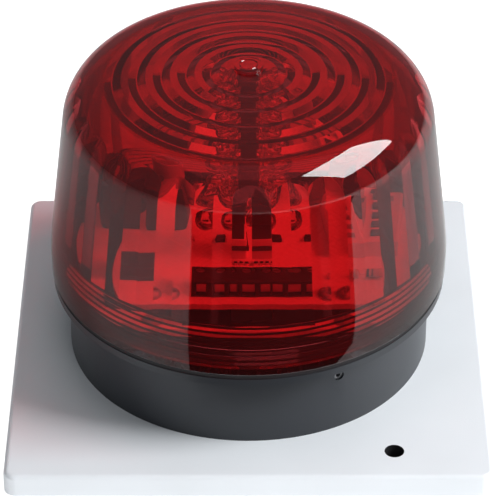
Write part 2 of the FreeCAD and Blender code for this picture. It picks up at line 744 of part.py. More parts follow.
def small_resistors():
    """A row of small flat resistors between the mast and the terminal block."""
    items = []
    for place_number in range(int(value("small_count"))):
        x = "(%d - (small_count - 1) / 2) * small_pitch" % place_number
        items.append(box("small_resistor", "small_wide", "small_long", "small_tall", x,
                         "small_y", "board_top"))
    finish(group("small_resistor_row", items), "small_resistors")


def diodes():
    """Two flat black diodes, one each side of the mast."""
    finish(group("diode_pair", [box("diode", "diode_long", "diode_wide", "diode_tall",
                                    side + "diode_x", "diode_y", "board_top")
                                for side in ("-1 * ", "")]), "diodes")


def sounder():
    """Piezo siren: a round case on the base floor with a sound hole, and a brass disc inside."""
    floor_top = "plate_height + base_floor"
    case = doc.addObject("PartDesign::Body", "sounder_body")
    inner = "sounder_radius - sounder_wall"
    disc_under = floor_top + " + disc_lift"
    profile = sketch_on(case, "XZ_Plane", "sounder_profile")
    outline(profile, [
        ("0", floor_top), ("sounder_radius", floor_top),
        ("sounder_radius", floor_top + " + sounder_tall"),
        ("sound_hole", floor_top + " + sounder_tall"),
        ("sound_hole", floor_top + " + sounder_tall - sounder_wall"),
        (inner, floor_top + " + sounder_tall - sounder_wall"), (inner, disc_under),
        ("disc_ledge", disc_under), ("disc_ledge", floor_top + " + sounder_wall"),
        ("0", floor_top + " + sounder_wall")])
    revolve(case, profile)
    place(case, y="sounder_y")
    finish(case, "sounder_case")
    finish(cylinder("disc", "disc_radius", "disc_thick", y="sounder_y", z=disc_under),
           "sounder_disc")


def sounder_leads():
    """Two wires that leave the side of the sounder and rise to the underside of the board."""
    radius = value("piezo_wire_radius")
    level = value("plate_height + base_floor + piezo_wire_lift")
    start_y = value("piezo_wire_start")
    end_y = value("piezo_wire_start + piezo_wire_run")
    top = value("board_top - board_thick")
    bend = 0.45 * min(end_y - start_y, top - level) / math.tan(math.radians(45))
    print("sounder wire bend radius", bend)
    for name, x in (("red", -value("piezo_wire_x")), ("black", value("piezo_wire_x"))):
        start = Vector(x, start_y, level)
        curve_in = Vector(x, end_y - bend, level)
        curve_out = Vector(x, end_y, level + bend)
        middle = Vector(x, end_y - bend + bend * math.sin(math.pi / 4),
                        level + bend - bend * math.cos(math.pi / 4))
        end = Vector(x, end_y, top)
        path = Part.Wire([Part.LineSegment(start, curve_in).toShape(),
                          Part.Arc(curve_in, middle, curve_out).toShape(),
                          Part.LineSegment(curve_out, end).toShape()])
        ring = Part.Wire(Part.makeCircle(radius, start, Vector(0, 1, 0)))
        shape = path.makePipeShell([ring], True, True)
        expected = math.pi * radius ** 2 * path.Length
        assert abs(shape.Volume - expected) < 0.01 * expected, "sounder wire has a wrong volume"
        item = doc.addObject("Part::Feature", "sounder_wire_" + name)
        item.Shape = shape
        item.Placement = Placement()
        finish(item, "sounder_lead_" + name)


for build in (mounting_plate, base_housing, base_gasket, base_screws, cable_grommet, lens_seal,
              lens, lock_screw, main_board, board_pillars, board_screws, terminal_block,
              terminal_clamps, terminal_screws, tone_switch_body, tone_sliders, led_mast,
              led_tiers, driver_coil, relay, capacitors, surge_resistor, control_chip,
              small_resistors, diodes, sounder, sounder_leads):
    build()
doc.recompute()

for item in doc.Objects:
    assert "Invalid" not in item.State and "Error" not in item.State, item.Name + " failed"
os.makedirs("parts", exist_ok=True)
for item in parts:
    assert not item.Shape.isNull() and item.Shape.isValid(), item.Label + " has no valid shape"
    print("%-18s %2d solids %9.2f mm3" % (item.Label, len(item.Shape.Solids), item.Shape.Volume))
for item in parts:
    item.Shape.exportStep("parts/%s.step" % item.Label)
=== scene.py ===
import bpy
import math
import numpy as np
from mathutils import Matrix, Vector


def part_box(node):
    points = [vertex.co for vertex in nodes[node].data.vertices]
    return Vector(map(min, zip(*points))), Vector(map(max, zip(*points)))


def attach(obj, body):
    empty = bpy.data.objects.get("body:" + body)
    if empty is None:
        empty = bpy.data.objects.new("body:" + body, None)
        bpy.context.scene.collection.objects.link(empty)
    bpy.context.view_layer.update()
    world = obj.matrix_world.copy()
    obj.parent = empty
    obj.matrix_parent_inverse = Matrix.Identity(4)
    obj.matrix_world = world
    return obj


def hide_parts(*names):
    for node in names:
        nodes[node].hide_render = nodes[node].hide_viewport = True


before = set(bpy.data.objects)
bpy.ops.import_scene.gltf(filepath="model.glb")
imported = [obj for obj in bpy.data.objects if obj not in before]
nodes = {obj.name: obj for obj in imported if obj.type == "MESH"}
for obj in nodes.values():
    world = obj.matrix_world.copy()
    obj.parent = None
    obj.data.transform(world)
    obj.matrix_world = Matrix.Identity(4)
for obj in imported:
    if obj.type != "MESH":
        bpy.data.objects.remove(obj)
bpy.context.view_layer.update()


# ---- Camera ----------------------------------------------------------------------------------
# A long lens, well above the siren and square on to its front, so the plate's sides converge
# only a little.
plate_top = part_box("mounting_plate")[1].z
camera_side = 0.00034
camera_back = 0.6272
camera_rise = 0.4697
camera_pitch = math.radians(35.32)
camera_data = bpy.data.cameras.new("studio_camera")
camera_data.sensor_width = 36
camera_data.lens = 217
camera = bpy.data.objects.new("studio_camera", camera_data)
camera.location = (camera_side, -camera_back, plate_top + camera_rise)
camera.rotation_euler = (math.pi / 2 - camera_pitch, 0, 0)
bpy.context.scene.collection.objects.link(camera)
bpy.context.scene.camera = camera
bpy.context.scene.view_settings.view_transform = "Standard"


# ---- Studio floor and light ------------------------------------------------------------------
# A white table with soft lamps from the right, from above and from the front, which shade the
# plate's left side, and a bright box that only draws the highlight on the dome. A dark card in
# front, which the camera doesn't see, clears a strip of the dome's reflection of the table.
def shader_tree(name):
    """A new material, its node tree, its Principled shader and its output node."""
    surface = bpy.data.materials.new(name)
    surface.use_nodes = True
    tree = surface.node_tree
    return surface, tree, tree.nodes["Principled BSDF"], tree.nodes["Material Output"]


def flat_sheet(name, corners, z):
    """A level sheet with these corners, at a height."""
    mesh = bpy.data.meshes.new(name)
    mesh.from_pydata([(x, y, z) for x, y in corners], [], [tuple(range(len(corners)))])
    sheet = bpy.data.objects.new(name, mesh)
    bpy.context.scene.collection.objects.link(sheet)
    return sheet


def soft_box(name, place, target, width, height, power, highlight=False):
    """A rectangular lamp that faces a target. It gives either shading or a highlight."""
    lamp = bpy.data.lights.new(name, "AREA")
    lamp.shape = "RECTANGLE"
    lamp.size = width
    lamp.size_y = height
    lamp.energy = power
    box = bpy.data.objects.new(name, lamp)
    box.location = place
    box.rotation_euler = (Vector(target) - Vector(place)).to_track_quat("-Z", "Y").to_euler()
    box.visible_glossy = highlight
    box.visible_diffuse = not highlight
    bpy.context.scene.collection.objects.link(box)
    return box


# The table glows for every ray but a reflected one, so that it doesn't veil the dome.
floor = flat_sheet("studio_floor", [(-1.2, -1.0), (1.2, -1.0), (1.2, 1.4), (-1.2, 1.4)], 0)
floor_paint, tree, skin, output = shader_tree("studio_floor_paint")
skin.inputs["Base Color"].default_value = (0.65, 0.65, 0.65, 1)
skin.inputs["Roughness"].default_value = 0.9
skin.inputs["Emission Color"].default_value = (1, 1, 1, 1)
path = tree.nodes.new("ShaderNodeLightPath")
glow = tree.nodes.new("ShaderNodeMapRange")
glow.inputs["To Min"].default_value = 0.85
glow.inputs["To Max"].default_value = 0
tree.links.new(path.outputs["Is Glossy Ray"], glow.inputs["Value"])
tree.links.new(glow.outputs["Result"], skin.inputs["Emission Strength"])
floor.data.materials.append(floor_paint)

card = flat_sheet("studio_card", [(-0.027, -0.066), (-0.30, -0.486), (0.38, -0.486),
                                  (0.38, -0.223), (0.066, -0.066)], 0.004)
card_paint, tree, skin, output = shader_tree("studio_card_paint")
skin.inputs["Base Color"].default_value = (0.02, 0.02, 0.02, 1)
skin.inputs["Roughness"].default_value = 0.9
skin.inputs["Specular IOR Level"].default_value = 0
card.data.materials.append(card_paint)
card.visible_camera = False
card.visible_shadow = False
card.visible_diffuse = False

# A dark sheet under the plate's hollow, standing in for shade: it keeps the table's glow out of
# the hollow, so the screw holes look dark.
shade_sheet_half = 0.055
under = flat_sheet("studio_painted_shade_sheet", [(-shade_sheet_half, -shade_sheet_half), (shade_sheet_half, -shade_sheet_half),
                                          (shade_sheet_half, shade_sheet_half), (-shade_sheet_half, shade_sheet_half)],
                   0.0001)
under.data.materials.append(card_paint)

dome_middle = (0, 0, 0.055)
key = soft_box("key_box", (0.74, -0.16, 0.60), dome_middle, 0.4, 0.4, 10.5)
key.visible_transmission = False
soft_box("top_box", (0.0, 0.1, 0.9), dome_middle, 0.6, 0.6, 1.2)
soft_box("front_box", (0.15, -0.8, 0.55), dome_middle, 0.5, 0.5, 1.3)
highlight = soft_box("highlight_box", (0.42, -0.05, 0.52), dome_middle, 0.46, 0.36, 6,
                     highlight=True)
highlight.visible_transmission = False

studio = bpy.data.worlds.new("studio")
studio.use_nodes = True
studio.node_tree.nodes["Background"].inputs["Color"].default_value = (0.6, 0.62, 0.65, 1)
studio.node_tree.nodes["Background"].inputs["Strength"].default_value = 0.2
bpy.context.scene.world = studio


# ---- Mounting plate --------------------------------------------------------------------------
# A square cover moulded in white ABS, 2.5 mm thick with a turned-down rim. The mould's fine
# spark texture shows as a faint grain.
def make_grain():
    """Moulded or plated surface: fine grain, and slow drifts of colour and gloss.

    Height is noise at the grain's scale; Colour is the paint made a little lighter or darker by
    much larger noise; Roughness drifts with the same large noise.
    """
    group = bpy.data.node_groups.new("moulded_grain", "ShaderNodeTree")
    sockets = group.interface
    sockets.new_socket("Colour", in_out="INPUT", socket_type="NodeSocketColor")
    sockets.new_socket("Grain Scale", in_out="INPUT", socket_type="NodeSocketFloat")
    sockets.new_socket("Roughness", in_out="INPUT", socket_type="NodeSocketFloat")
    sockets.new_socket("Drift", in_out="INPUT", socket_type="NodeSocketFloat")
    sockets.new_socket("Colour", in_out="OUTPUT", socket_type="NodeSocketColor")
    sockets.new_socket("Roughness", in_out="OUTPUT", socket_type="NodeSocketFloat")
    sockets.new_socket("Height", in_out="OUTPUT", socket_type="NodeSocketFloat")
    add = group.nodes.new
    link = group.links.new
    inside = add("NodeGroupInput")
    outside = add("NodeGroupOutput")
    where = add("ShaderNodeTexCoord")
    fine = add("ShaderNodeTexNoise")
    fine.inputs["Detail"].default_value = 3
    link(where.outputs["Object"], fine.inputs["Vector"])
    link(inside.outputs["Grain Scale"], fine.inputs["Scale"])
    slow = add("ShaderNodeTexNoise")
    slow.inputs["Scale"].default_value = 35
    slow.inputs["Detail"].default_value = 2
    link(where.outputs["Object"], slow.inputs["Vector"])
    centred = add("ShaderNodeMath")
    centred.operation = "SUBTRACT"
    centred.inputs[1].default_value = 0.5
    link(slow.outputs["Fac"], centred.inputs[0])
    drift = add("ShaderNodeMath")
    drift.operation = "MULTIPLY"
    link(centred.outputs[0], drift.inputs[0])
    link(inside.outputs["Drift"], drift.inputs[1])
    gain = add("ShaderNodeMath")
    gain.operation = "ADD"
    gain.inputs[1].default_value = 1
    link(drift.outputs[0], gain.inputs[0])
    tint = add("ShaderNodeVectorMath")
    tint.operation = "SCALE"
    link(inside.outputs["Colour"], tint.inputs[0])
    link(gain.outputs[0], tint.inputs["Scale"])
    gloss = add("ShaderNodeMath")
    gloss.operation = "MULTIPLY"
    link(inside.outputs["Roughness"], gloss.inputs[0])
    link(gain.outputs[0], gloss.inputs[1])
    link(tint.outputs[0], outside.inputs["Colour"])
    link(gloss.outputs[0], outside.inputs["Roughness"])
    link(fine.outputs["Fac"], outside.inputs["Height"])
    return group


grain = make_grain()


def grained(name, colour, roughness, scale=2500, depth=0.00002, drift=0.12):
    """A material with the moulded grain, in a colour, with a roughness and a grain depth."""
    surface, tree, skin, output = shader_tree(name)
    texture = tree.nodes.new("ShaderNodeGroup")
    texture.node_tree = grain
    texture.inputs["Colour"].default_value = (*colour, 1)
    texture.inputs["Grain Scale"].default_value = scale
    texture.inputs["Roughness"].default_value = roughness
    texture.inputs["Drift"].default_value = drift
    bump = tree.nodes.new("ShaderNodeBump")
    bump.inputs["Distance"].default_value = depth
    tree.links.new(texture.outputs["Height"], bump.inputs["Height"])
    tree.links.new(texture.outputs["Colour"], skin.inputs["Base Color"])
    tree.links.new(texture.outputs["Roughness"], skin.inputs["Roughness"])
    tree.links.new(bump.outputs["Normal"], skin.inputs["Normal"])
    return surface, tree, skin


def dress(material, *names):
    """Puts one material on every slot of CAD nodes."""
    for name in names:
        slots = nodes[name].data.materials
        slots.clear()
        slots.append(material)


plate_paint, tree, skin = grained("white_abs", (0.79, 0.83, 0.87), 0.38)
# Painted shade: inside the two screw holes the wall is painted near black, standing in for the
# shade of an unlit bore. The plate's plan is turned half a turn about its middle where x is
# negative, so both holes share one spot.
hole_x, hole_y = 0.0359, -0.05
painted_bore_shade_radius = 0.0024
painted_bore_shade_blend = 0.00006
where = tree.nodes.new("ShaderNodeTexCoord")
axes = tree.nodes.new("ShaderNodeSeparateXYZ")
tree.links.new(where.outputs["Object"], axes.inputs["Vector"])
flip = tree.nodes.new("ShaderNodeMath")
flip.operation = "SIGN"
tree.links.new(axes.outputs["X"], flip.inputs[0])
turned = tree.nodes.new("ShaderNodeVectorMath")
turned.operation = "SCALE"
tree.links.new(where.outputs["Object"], turned.inputs[0])
tree.links.new(flip.outputs[0], turned.inputs["Scale"])
flat = tree.nodes.new("ShaderNodeVectorMath")
flat.operation = "MULTIPLY"
flat.inputs[1].default_value = (1, 1, 0)
tree.links.new(turned.outputs[0], flat.inputs[0])
away = tree.nodes.new("ShaderNodeVectorMath")
away.operation = "DISTANCE"
away.inputs[1].default_value = (hole_x, hole_y, 0)
tree.links.new(flat.outputs[0], away.inputs[0])
inside = tree.nodes.new("ShaderNodeMapRange")
inside.inputs["From Min"].default_value = painted_bore_shade_radius
inside.inputs["From Max"].default_value = painted_bore_shade_radius + painted_bore_shade_blend
tree.links.new(away.outputs["Value"], inside.inputs["Value"])
# The painted shade: near black inside the bore's radius, the plate's grained colour outside it.
paint = tree.nodes.new("ShaderNodeMix")
paint.data_type = "RGBA"
paint.inputs["A"].default_value = (0.02, 0.02, 0.022, 1)
tree.links.new(inside.outputs["Result"], paint.inputs["Factor"])
tree.links.new(tree.nodes["Group"].outputs["Colour"], paint.inputs["B"])
tree.links.new(paint.outputs["Result"], skin.inputs["Base Color"])
dress(plate_paint, "mounting_plate")


# ---- Base gasket -----------------------------------------------------------------------------
# A die-cut ring of closed-cell foam in a groove under the base. It seals the base to the plate
# and only its edge could ever be seen.
foam, tree, skin = grained("black_foam", (0.02, 0.02, 0.022), 0.95, 900, 0.0002)
dress(foam, "base_gasket")


# ---- Base screws -----------------------------------------------------------------------------
# Three zinc-plated pan-head screws with a cross recess, driven up from the plate's hollow into
# the bosses of the base.
def make_skin(name, grid, material, body, slot, *stands_for, ring=False, sharp=28):
    """A piece whose faces join neighbours in a grid of points, handed to its CAD body.

    grid[..., row, column] is a point, and any axes before those count separate shells. Columns
    go once round and join up; rows follow the profile and, in a ring, join up too. A row whose
    points all coincide is a pole, which keeps one vertex. Edges sharper than an angle stay hard.
    """
    rows, columns = grid.shape[-3:-1]
    points = grid.reshape(-1, 3)
    index = np.arange(len(points)).reshape(-1, rows, columns)
    pole = np.ptp(points.reshape(-1, rows, columns, 3), axis=2).max(axis=-1) < 1e-9
    index = np.where(pole[:, :, None], index[:, :, :1], index)
    below = np.roll(index, -1, axis=1)
    if not ring:
        index, below = index[:, :-1], below[:, :-1]
    quads = np.stack([index, below, np.roll(below, -1, axis=2), np.roll(index, -1, axis=2)],
                     axis=-1).reshape(-1, 4)
    used, quads = np.unique(quads, return_inverse=True)
    quads = quads.reshape(-1, 4)
    top_pole = quads[:, 0] == quads[:, 3]
    low_pole = quads[:, 1] == quads[:, 2]
    plain = ~(top_pole | low_pole)
    faces = quads[plain].tolist() + quads[top_pole & ~low_pole][:, :3].tolist()
    faces += quads[low_pole & ~top_pole][:, [0, 1, 3]].tolist()
    mesh = bpy.data.meshes.new(name)
    mesh.from_pydata(points[used].tolist(), [], faces)
    mesh.polygons.foreach_set("use_smooth", np.ones(len(faces), bool))
    mesh.set_sharp_from_angle(angle=math.radians(sharp))
    mesh.materials.append(material)
    piece = bpy.data.objects.new(name, mesh)
    bpy.context.scene.collection.objects.link(piece)
    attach(piece, body)
    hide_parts(*stands_for)


def turn_profile(radii, heights, columns=48):
    """A grid swept by a profile turned once about Z: (r cos a, r sin a, z)."""
    around = np.linspace(0, 2 * np.pi, columns, endpoint=False)
    radii, heights = np.asarray(radii, float)[:, None], np.asarray(heights, float)[:, None]
    return np.stack([radii * np.cos(around), radii * np.sin(around),
                     heights + 0 * around], axis=-1)


def pan_head_screw(head_radius, head_tall, shank_radius, shank_long):
    """Screw standing on z = 0 by its head's flat: a domed head above and a threaded shank below.

    The head is an ellipse turned about Z with a cross sunk into it; the shank's radius is a
    sawtooth along its length that gives rings in place of a thread, and it ends in a short cone.
    """
    bend = np.linspace(0, np.pi / 2, 12)
    head_r = head_radius * np.sin(bend)
    head_z = head_tall * np.cos(bend) ** 0.8
    turns = np.arange(0, shank_long * 0.85, shank_radius * 0.28)
    shank_r = shank_radius * np.where(np.arange(len(turns)) % 2, 0.84, 1)
    radii = np.concatenate([head_r, [head_radius, shank_radius], shank_r, [shank_radius * 0.5, 0]])
    heights = np.concatenate([head_z, [0.0, 0.0], -turns - 1e-5, [-shank_long, -shank_long]])
    grid = turn_profile(radii, heights, 64)
    arm = head_radius * 0.16
    reach = head_radius * 0.62
    narrow = np.minimum(abs(grid[..., 0]), abs(grid[..., 1]))
    wide = np.maximum(abs(grid[..., 0]), abs(grid[..., 1]))
    sunk = np.clip((arm - narrow) / arm * 2, 0, 1) * np.clip((reach - wide) / arm, 0, 1)
    grid[..., 2] -= np.where(grid[..., 2] > 0, sunk * head_tall * 0.6, 0)
    return grid


screw_circle = 0.034
screw_low, screw_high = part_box("base_screws")
base_head_radius = screw_high.x - screw_circle
base_head_tall = 0.002
base_shank_radius = 0.00148
base_screw = pan_head_screw(base_head_radius, base_head_tall, base_shank_radius,
                            screw_high.z - screw_low.z - base_head_tall)
base_screw = base_screw * (1, -1, -1)
screw_angles = np.radians([0, 180, 270])
screw_feet = np.stack([screw_circle * np.cos(screw_angles), screw_circle * np.sin(screw_angles),
                       np.full(3, screw_low.z + base_head_tall)], axis=-1)
zinc, tree, skin = grained("zinc_plate", (0.62, 0.63, 0.64), 0.32, 4000, 0.000004, 0.3)
skin.inputs["Metallic"].default_value = 1
make_skin("base_fixing_screws", base_screw + screw_feet[:, None, None, :], zinc, "siren_base",
          "steel", "base_screws")


# ---- Base housing ----------------------------------------------------------------------------
# The black cup that holds everything: a straight wall with a thin flange that the lens stands
# on. Moulded in glossy black ABS.
black_abs, tree, skin = grained("black_abs", (0.022, 0.025, 0.031), 0.34, 3000, 0.000006)
dress(black_abs, "base_housing")


# ---- Cable grommet ---------------------------------------------------------------------------
# A soft black rubber bush that snaps into the base's floor and lines the cable hole.
rubber, tree, skin = grained("black_rubber", (0.016, 0.016, 0.018), 0.72, 1500, 0.00003)
dress(rubber, "cable_grommet")


# ---- Sounder ---------------------------------------------------------------------------------
# A piezo siren on the base floor: a moulded case with a hole in its lid, and a brass disc with
# a pale ceramic layer clamped on a ledge inside. Two thin wires run up to the board.
case_abs, tree, skin = grained("sounder_abs", (0.030, 0.030, 0.033), 0.45, 2500, 0.00002)
dress(case_abs, "sounder_case")
brass, tree, skin = grained("brass", (0.72, 0.52, 0.22), 0.28, 5000, 0.000003, 0.3)
skin.inputs["Metallic"].default_value = 1
dress(brass, "sounder_disc")
red_sleeve, tree, skin = grained("red_wire_sleeve", (0.50, 0.02, 0.02), 0.40, 3000, 0.00001)
dress(red_sleeve, "sounder_lead_red")
black_sleeve, tree, skin = grained("black_wire_sleeve", (0.02, 0.02, 0.02), 0.40, 3000, 0.00001)
dress(black_sleeve, "sounder_lead_black")


# ---- Board pillars and board screws ----------------------------------------------------------
# Four hexagonal spacers of nickel-plated brass, each with a pan-head screw that holds the board
# down.
nickel, tree, skin = grained("nickel_plate", (0.66, 0.62, 0.54), 0.25, 5000, 0.000003, 0.25)
skin.inputs["Metallic"].default_value = 1
dress(nickel, "board_pillars")

board_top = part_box("main_board")[1].z
bolt_low, bolt_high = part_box("board_screws")
board_head_radius = 0.0026
board_head_tall = bolt_high.z - board_top
board_shank_radius = 0.00123
board_screw = pan_head_screw(board_head_radius, board_head_tall, board_shank_radius,
                             board_top - bolt_low.z)
front_screw_x = bolt_high.x - board_head_radius
rear_screw_x = 0.014
bolt_places = np.array([(side * reach, y, board_top) for side in (-1, 1) for reach, y in (
    (front_screw_x, bolt_low.y + board_head_radius),
    (rear_screw_x, bolt_high.y - board_head_radius))])
make_skin("board_fixing_screws", board_screw + bolt_places[:, None, None, :], zinc, "siren_base",
          "steel", "board_screws")


# ---- Main board ------------------------------------------------------------------------------
# A glass-fibre board, 1.6 mm thick, under a white solder mask. Copper tracks show through the
# mask as faint lines.
board_paint, tree, skin = grained("white_mask", (0.80, 0.81, 0.80), 0.35, 1800, 0.000008)
where = tree.nodes.new("ShaderNodeTexCoord")
tracks = tree.nodes.new("ShaderNodeTexVoronoi")
tracks.distance = "MANHATTAN"
tracks.feature = "F1"
tracks.inputs["Scale"].default_value = 190
tree.links.new(where.outputs["Object"], tracks.inputs["Vector"])
bands = tree.nodes.new("ShaderNodeMath")
bands.operation = "PINGPONG"
bands.inputs[1].default_value = 0.16
tree.links.new(tracks.outputs["Distance"], bands.inputs[0])
lines = tree.nodes.new("ShaderNodeMapRange")
lines.inputs["From Min"].default_value = 0.10
lines.inputs["From Max"].default_value = 0.12
tree.links.new(bands.outputs[0], lines.inputs["Value"])
shade = tree.nodes.new("ShaderNodeMix")
shade.data_type = "RGBA"
shade.inputs["A"].default_value = (0.80, 0.81, 0.80, 1)
shade.inputs["B"].default_value = (0.71, 0.74, 0.71, 1)
tree.links.new(lines.outputs["Result"], shade.inputs["Factor"])
tree.links.new(shade.outputs["Result"], skin.inputs["Base Color"])
dress(board_paint, "main_board")


# ---- Terminal block --------------------------------------------------------------------------
# An eight-way screw terminal in black polyamide: wire entries in front, screws in wells on top,
# and a tinned clamp at the back of each entry.
polyamide, tree, skin = grained("black_polyamide", (0.022, 0.022, 0.024), 0.42, 2200, 0.00002)
dress(polyamide, "terminal_block")
tin, tree, skin = grained("tin_plate", (0.82, 0.82, 0.84), 0.42, 5000, 0.000003, 0.3)
skin.inputs["Metallic"].default_value = 0.6
dress(tin, "terminal_clamps")
screw_steel, tree, skin = grained("slotted_screw_steel", (0.60, 0.60, 0.61), 0.30, 6000, 0.000004)
skin.inputs["Metallic"].default_value = 1
dress(screw_steel, *[name for name in nodes if name.startswith("terminal_screw_")])


# ---- Tone switch -----------------------------------------------------------------------------
# A slide switch block in pale plastic with five dark sliders, which chooses the siren's sound.
switch_nylon, tree, skin = grained("pale_switch_nylon", (0.72, 0.72, 0.71), 0.40, 2400, 0.00002)
dress(switch_nylon, "tone_switch_body")
slider_nylon, tree, skin = grained("dark_slider_nylon", (0.035, 0.035, 0.04), 0.45, 3000, 0.00001)
dress(slider_nylon, *[name for name in nodes if name.startswith("tone_slider_")])


# ---- Mast and its foot -----------------------------------------------------------------------
# A square post moulded in black, with a collar for each tier of lights. It plugs into a pale
# nylon foot pinned to the board, and a black clip holds the foot's jaws shut.
def moulded_block(low, high, corner, rows, arc=4):
    """A grid for a block of rounded rectangles stacked along Z.

    Each row is (inset, height): the rectangle between low and high, drawn in by the inset, with
    its corners rounded to the corner radius less the inset. The first and last rows are poles.
    """
    low, high = np.array(low, float), np.array(high, float)
    middle, half = (low[:2] + high[:2]) / 2, (high[:2] - low[:2]) / 2
    quarter = np.linspace(0, np.pi / 2, arc + 1)
    turn = (np.arange(4)[:, None] * np.pi / 2 + quarter).ravel()
    sign = np.repeat([[1, 1], [-1, 1], [-1, -1], [1, -1]], arc + 1, axis=0)
    round_part = np.stack([np.cos(turn), np.sin(turn)], axis=-1)
    inset, height = np.array(rows, float).T
    radius = np.maximum(corner - inset, corner * 0.1)[:, None, None]
    flat = sign * np.maximum(half - inset[:, None, None] - radius, 0) + round_part * radius
    level = np.repeat(height[:, None, None], len(turn), axis=1)
    grid = np.concatenate([middle + flat, level], axis=-1)
    ends = grid[[0, -1]]
    ends[:, :, :2] = middle
    return np.concatenate([ends[:1], grid, ends[1:]])


def eased(low, high, ease):
    """Rows for a plain block whose top and bottom edges are rounded by a quarter circle."""
    bend = np.linspace(0, np.pi / 2, 4)
    top = [(ease * (1 - math.sin(a)), high - ease * (1 - math.cos(a))) for a in bend]
    foot = [(ease * (1 - math.cos(a)), low + ease * (1 - math.sin(a))) for a in bend]
    return top + foot


tier_names = sorted(name for name in nodes if name.startswith("led_tier_"))
tier_boxes = [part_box(name) for name in tier_names]
tier_heights = [(low.z + high.z) / 2 for low, high in tier_boxes]
mast_low, mast_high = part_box("led_mast")
mast_corner = 0.0006
mast_rows = [(mast_corner, mast_high.z), (0.0002, mast_high.z - 0.0003)]
for height in reversed(tier_heights):
    for offset, inset in ((0.0030, 0.0002), (0.0027, 0), (-0.0027, 0), (-0.0030, 0.0002)):
        mast_rows.append((inset, height + offset))
mast_rows.append((0.0002, mast_low.z))
post_black, tree, skin = grained("post_black", (0.055, 0.055, 0.058), 0.38, 2600, 0.00001)
make_skin("mast_post", moulded_block(mast_low, mast_high, mast_corner, mast_rows), post_black,
          "siren_base", "black_part", "led_mast")
foot_low, foot_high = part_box("mast_foot")
foot_rows = eased(foot_low.z, foot_high.z, 0.0003)
make_skin("mast_socket", moulded_block(foot_low, foot_high, mast_corner, foot_rows), switch_nylon,
          "siren_base", "white_switch", "mast_foot")
dress(post_black, "mast_clip")


# ---- Lights ----------------------------------------------------------------------------------
# Four 5 mm lights to a tier, cast in clear epoxy with a domed tip and a rim round the foot. In
# each stands a pair of tinned posts, one with a little bright cup for the chip.
light_radius = 0.0024
light_rim = 0.0028
light_spread = math.radians(32)
light_foot = 0.0047
light_tip = light_foot + 0.0046
light_ways = np.array([light_spread, math.pi - light_spread, math.pi + light_spread,
                       -light_spread])


def stand_out(grid, heights):
    """Copies of a grid about +Z, laid along each light's direction, with a shell for each."""
    out = np.stack([np.cos(light_ways), np.sin(light_ways), 0 * light_ways], axis=-1)
    side = np.stack([-out[:, 1], out[:, 0], 0 * light_ways], axis=-1)
    turned = (grid[..., 2, None] * out[:, None, None] + grid[..., 0, None] * side[:, None, None]
              + grid[..., 1, None] * np.array([0, 0, 1]))
    lifted = turned[None] + np.array([(0, 0, z) for z in heights])[:, None, None, None]
    return lifted.reshape(-1, *grid.shape)


def pass_shadow_rays(tree, skin, output):
    """Lets a lamp's light straight through a clear material, and returns the shader to tint it."""
    path = tree.nodes.new("ShaderNodeLightPath")
    through = tree.nodes.new("ShaderNodeBsdfTransparent")
    mix = tree.nodes.new("ShaderNodeMixShader")
    tree.links.new(path.outputs["Is Shadow Ray"], mix.inputs["Fac"])
    tree.links.new(skin.outputs["BSDF"], mix.inputs[1])
    tree.links.new(through.outputs["BSDF"], mix.inputs[2])
    tree.links.new(mix.outputs["Shader"], output.inputs["Surface"])
    return through


bend = np.linspace(0, np.pi / 2, 10)
body_r = np.concatenate([light_radius * np.sin(bend),
                         [light_radius, light_rim, light_rim, light_rim - 0.0001, 0]])
body_z = np.concatenate([light_tip + light_radius * np.cos(bend),
                         [light_foot + 0.0010, light_foot + 0.0009, light_foot + 0.0001,
                          light_foot, light_foot]])
epoxy, tree, skin, output = shader_tree("clear_epoxy")
skin.inputs["Roughness"].default_value = 0.02
skin.inputs["IOR"].default_value = 1.53
skin.inputs["Transmission Weight"].default_value = 1
speck = tree.nodes.new("ShaderNodeTexCoord")
cloud = tree.nodes.new("ShaderNodeTexNoise")
cloud.inputs["Scale"].default_value = 300
tree.links.new(speck.outputs["Object"], cloud.inputs["Vector"])
clear = tree.nodes.new("ShaderNodeMix")
clear.data_type = "RGBA"
clear.inputs["A"].default_value = (0.98, 0.98, 0.98, 1)
clear.inputs["B"].default_value = (0.92, 0.94, 0.97, 1)
tree.links.new(cloud.outputs["Fac"], clear.inputs["Factor"])
tree.links.new(clear.outputs["Result"], skin.inputs["Base Color"])
through = pass_shadow_rays(tree, skin, output)
through.inputs["Color"].default_value = (0.9, 0.9, 0.9, 1)
light_shape = turn_profile(body_r, body_z, 32)
for name, height in zip(tier_names, tier_heights):
    make_skin(name.replace("led_tier", "light_tier"), stand_out(light_shape, [height]), epoxy,
              "siren_base", "clear_led", name)

cup_r = np.array([0, 0.00035, 0.00075, 0.00085, 0.00085, 0.0007, 0.0007, 0])
cup_z = np.array([0.0028, 0.0028, 0.0034, 0.0034, 0.0028, 0.0024, 0.0016, 0.0016]) + light_foot
cup = turn_profile(cup_r, cup_z, 20)
bright, tree, skin = grained("light_frame_silver", (0.88, 0.88, 0.86), 0.16, 5000, 0.000002, 0.3)
skin.inputs["Metallic"].default_value = 1
make_skin("light_cups", stand_out(cup, tier_heights), bright, "siren_base", "tin")
post_half_wide, post_half_thick, post_below = 0.0007, 0.00022, 0.0018
frame_posts = [moulded_block((-post_half_wide, y - post_half_thick, 0),
                             (post_half_wide, y + post_half_thick, 0), 0.0002,
                             [(0, light_foot + top), (0, light_foot - post_below)], arc=1)
               for y, top in ((-0.00127, 0.0030), (0.00127, 0.0022))]
make_skin("light_lower_posts", stand_out(frame_posts[0], tier_heights), bright, "siren_base",
          "tin", "led_leads")
make_skin("light_upper_posts", stand_out(frame_posts[1], tier_heights), bright, "siren_base",
          "tin")


